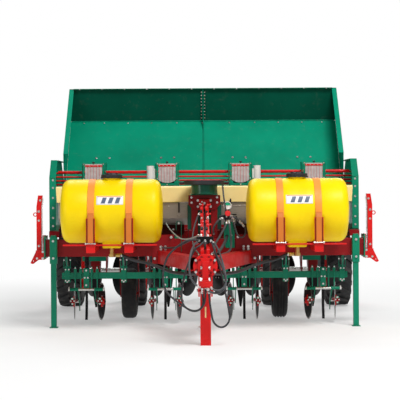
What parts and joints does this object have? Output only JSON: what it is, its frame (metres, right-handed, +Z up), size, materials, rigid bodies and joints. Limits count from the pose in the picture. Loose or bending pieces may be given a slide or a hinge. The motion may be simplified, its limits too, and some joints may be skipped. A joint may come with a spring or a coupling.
{
  "type": "four-row planter",
  "caption": "Trailed row planter with a tipping seed hopper, liquid tanks, fertiliser boxes, cup-belt planting units, disc coulters, parking legs and ridging discs.",
  "frame": {"origin": "on the ground, under the middle of the machine's outer box", "axes": "+Z up, +Y from the drawbar towards the rear, +X to the right as seen from in front of the drawbar"},
  "size_m": [3.28, 4.7116, 2.4413],
  "materials": {
    "red_paint": "gloss",
    "dark_red_paint": "gloss",
    "green_paint": "gloss",
    "yellow_plastic": "satin",
    "cream_plastic": "satin",
    "orange_webbing": "matte",
    "stainless": "brushed",
    "zinc": "satin",
    "brass": "satin",
    "black_plastic": "matte",
    "black_steel": "satin",
    "belt_rubber": "matte",
    "hose_rubber": "matte",
    "tyre_rubber": "matte",
    "clear_strips": "gloss",
    "white_plastic": "satin"
  },
  "bodies": {
    "frame": {"toolbar": "dark_red_paint", "drawbar_arms": "red_paint", "drawbar_head": "red_paint", "hitch_eye": "red_paint", "mast": "red_paint", "chassis": "dark_red_paint", "side_panels": "green_paint", "tank_cradles": "red_paint", "tank_left": "yellow_plastic", "tank_right": "yellow_plastic", "tank_straps": "orange_webbing", "tank_outlets": "brass", "fertilizer_boxes": "stainless", "metering_housings": "dark_red_paint", "wash_tank": "black_plastic", "spray_valve_block": "black_plastic", "guard_rods": "red_paint", "unit_housings": "green_paint", "cup_belts": "belt_rubber", "unit_curtains": "clear_strips", "belt_motors": "white_plastic", "furrow_openers": "black_steel", "coulter_bars": "green_paint", "coulter_arms": "green_paint", "coulter_tines": "black_steel", "marker_brackets": "red_paint", "leg_sleeves": "green_paint", "frame_bolts": "zinc", "hose_left_loop": "hose_rubber", "hose_centre_drop": "hose_rubber", "hose_right_loop": "hose_rubber", "suction_hoses": "hose_rubber"},
    "hopper": {"hopper": "green_paint"},
    "hopper_barrels": {"hopper_barrels": "dark_red_paint"},
    "hopper_rods": {"hopper_rods": "zinc"},
    "fertilizer_lid_left": {"fertilizer_lid_left": "cream_plastic"},
    "fertilizer_lid_right": {"fertilizer_lid_right": "cream_plastic"},
    "tank_cap_left": {"tank_cap_left": "black_plastic"},
    "tank_cap_right": {"tank_cap_right": "black_plastic"},
    "parking_stand": {"parking_stand": "red_paint"},
    "leg_left": {"leg_left": "green_paint"},
    "leg_right": {"leg_right": "green_paint"},
    "marker_arm_left": {"marker_arm_left": "red_paint"},
    "marker_arm_right": {"marker_arm_right": "red_paint"},
    "rear_wheels_left": {"rear_wheels_left": "tyre_rubber"},
    "rear_wheels_right": {"rear_wheels_right": "tyre_rubber"},
    "gauge_wheel_left": {"gauge_wheel_left": "tyre_rubber"},
    "gauge_wheel_right": {"gauge_wheel_right": "tyre_rubber"},
    "coulter_disc_1": {"coulter_disc_1": "black_steel"},
    "coulter_disc_2": {"coulter_disc_2": "black_steel"},
    "coulter_disc_3": {"coulter_disc_3": "black_steel"},
    "coulter_disc_4": {"coulter_disc_4": "black_steel"},
    "coulter_disc_5": {"coulter_disc_5": "black_steel"},
    "coulter_disc_6": {"coulter_disc_6": "black_steel"},
    "coulter_disc_7": {"coulter_disc_7": "black_steel"},
    "coulter_disc_8": {"coulter_disc_8": "black_steel"},
    "ridging_gang": {"ridging_frame": "dark_red_paint", "ridging_discs": "black_steel"},
    "belt_drive_shaft": {"belt_drive_shaft": "zinc"},
    "regulator_knob": {"regulator_knob": "red_paint"}
  },
  "joints": [
    {"name": "hopper_tilt", "type": "hinge", "parent": "frame", "child": "hopper", "pos_m": [0, 1.1673, 1.29], "axis": [1, 0, 0], "range_deg": [-48, 0]},
    {"name": "barrel_swing", "type": "hinge", "parent": "frame", "child": "hopper_barrels", "pos_m": [0, 1.5493, 0.56], "axis": [1, 0, 0], "range_deg": [-19, 0]},
    {"name": "rod_slide", "type": "slide", "parent": "hopper_barrels", "child": "hopper_rods", "axis": [0, 0.0906, 0.9959], "range_m": [-0.47, 0]},
    {"name": "marker_left_fold", "type": "hinge", "parent": "frame", "child": "marker_arm_left", "pos_m": [-1.56, -0.6167, 0.672], "axis": [0, -1, 0], "range_deg": [0, 85]},
    {"name": "marker_right_fold", "type": "hinge", "parent": "frame", "child": "marker_arm_right", "pos_m": [1.56, -0.6167, 0.672], "axis": [0, 1, 0], "range_deg": [0, 85]},
    {"name": "lid_left_open", "type": "hinge", "parent": "frame", "child": "fertilizer_lid_left", "pos_m": [-0.76, -0.1087, 1.15], "axis": [-1, 0, 0], "range_deg": [0, 100]},
    {"name": "lid_right_open", "type": "hinge", "parent": "frame", "child": "fertilizer_lid_right", "pos_m": [0.76, -0.1087, 1.15], "axis": [-1, 0, 0], "range_deg": [0, 100]},
    {"name": "stand_swing", "type": "hinge", "parent": "frame", "child": "parking_stand", "pos_m": [0, -2.0907, 0.45], "axis": [1, 0, 0], "range_deg": [0, 90]},
    {"name": "leg_left_slide", "type": "slide", "parent": "frame", "child": "leg_left", "axis": [0, 0, 1], "range_m": [0, 0.4]},
    {"name": "leg_right_slide", "type": "slide", "parent": "frame", "child": "leg_right", "axis": [0, 0, 1], "range_m": [0, 0.4]},
    {"name": "cap_left_lift", "type": "slide", "parent": "frame", "child": "tank_cap_left", "axis": [0, 0, 1], "range_m": [0, 0.08]},
    {"name": "cap_right_lift", "type": "slide", "parent": "frame", "child": "tank_cap_right", "axis": [0, 0, 1], "range_m": [0, 0.08]},
    {"name": "ridger_lift", "type": "hinge", "parent": "frame", "child": "ridging_gang", "pos_m": [0, 1.7493, 0.64], "axis": [1, 0, 0], "range_deg": [0, 30]},
    {"name": "rear_wheels_left_roll", "type": "hinge", "parent": "frame", "child": "rear_wheels_left", "pos_m": [-1.12, 1.3793, 0.4], "axis": [1, 0, 0], "continuous": true},
    {"name": "rear_wheels_right_roll", "type": "hinge", "parent": "frame", "child": "rear_wheels_right", "pos_m": [1.12, 1.3793, 0.4], "axis": [1, 0, 0], "continuous": true},
    {"name": "gauge_wheel_left_roll", "type": "hinge", "parent": "frame", "child": "gauge_wheel_left", "pos_m": [-0.75, 0.1193, 0.25], "axis": [1, 0, 0], "continuous": true},
    {"name": "gauge_wheel_right_roll", "type": "hinge", "parent": "frame", "child": "gauge_wheel_right", "pos_m": [0.75, 0.1193, 0.25], "axis": [1, 0, 0], "continuous": true},
    {"name": "belt_drive_spin", "type": "hinge", "parent": "frame", "child": "belt_drive_shaft", "pos_m": [0, 0.4293, 1.47], "axis": [1, 0, 0], "continuous": true},
    {"name": "regulator_turn", "type": "hinge", "parent": "frame", "child": "regulator_knob", "pos_m": [0.216, -0.8257, 1.06], "axis": [0, -1, 0], "range_deg": [0, 270]},
    {"name": "coulter_disc_1_spin", "type": "hinge", "parent": "frame", "child": "coulter_disc_1", "pos_m": [-1.255, -0.3707, 0.21], "axis": [0.9903, 0.1392, 0], "continuous": true},
    {"name": "coulter_disc_2_spin", "type": "hinge", "parent": "frame", "child": "coulter_disc_2", "pos_m": [-0.995, -0.3707, 0.21], "axis": [0.9903, -0.1392, 0], "continuous": true},
    {"name": "coulter_disc_3_spin", "type": "hinge", "parent": "frame", "child": "coulter_disc_3", "pos_m": [-0.505, -0.3707, 0.21], "axis": [0.9903, 0.1392, 0], "continuous": true},
    {"name": "coulter_disc_4_spin", "type": "hinge", "parent": "frame", "child": "coulter_disc_4", "pos_m": [-0.245, -0.3707, 0.21], "axis": [0.9903, -0.1392, 0], "continuous": true},
    {"name": "coulter_disc_5_spin", "type": "hinge", "parent": "frame", "child": "coulter_disc_5", "pos_m": [0.245, -0.3707, 0.21], "axis": [0.9903, 0.1392, 0], "continuous": true},
    {"name": "coulter_disc_6_spin", "type": "hinge", "parent": "frame", "child": "coulter_disc_6", "pos_m": [0.505, -0.3707, 0.21], "axis": [0.9903, -0.1392, 0], "continuous": true},
    {"name": "coulter_disc_7_spin", "type": "hinge", "parent": "frame", "child": "coulter_disc_7", "pos_m": [0.995, -0.3707, 0.21], "axis": [0.9903, 0.1392, 0], "continuous": true},
    {"name": "coulter_disc_8_spin", "type": "hinge", "parent": "frame", "child": "coulter_disc_8", "pos_m": [1.255, -0.3707, 0.21], "axis": [0.9903, -0.1392, 0], "continuous": true}
  ],
  "couplings": [
    {"joint": "barrel_swing", "follows": "hopper_tilt", "ratio": 0.38542},
    {"joint": "rod_slide", "follows": "hopper_tilt", "m_per_rad": 0.55456}
  ]
}
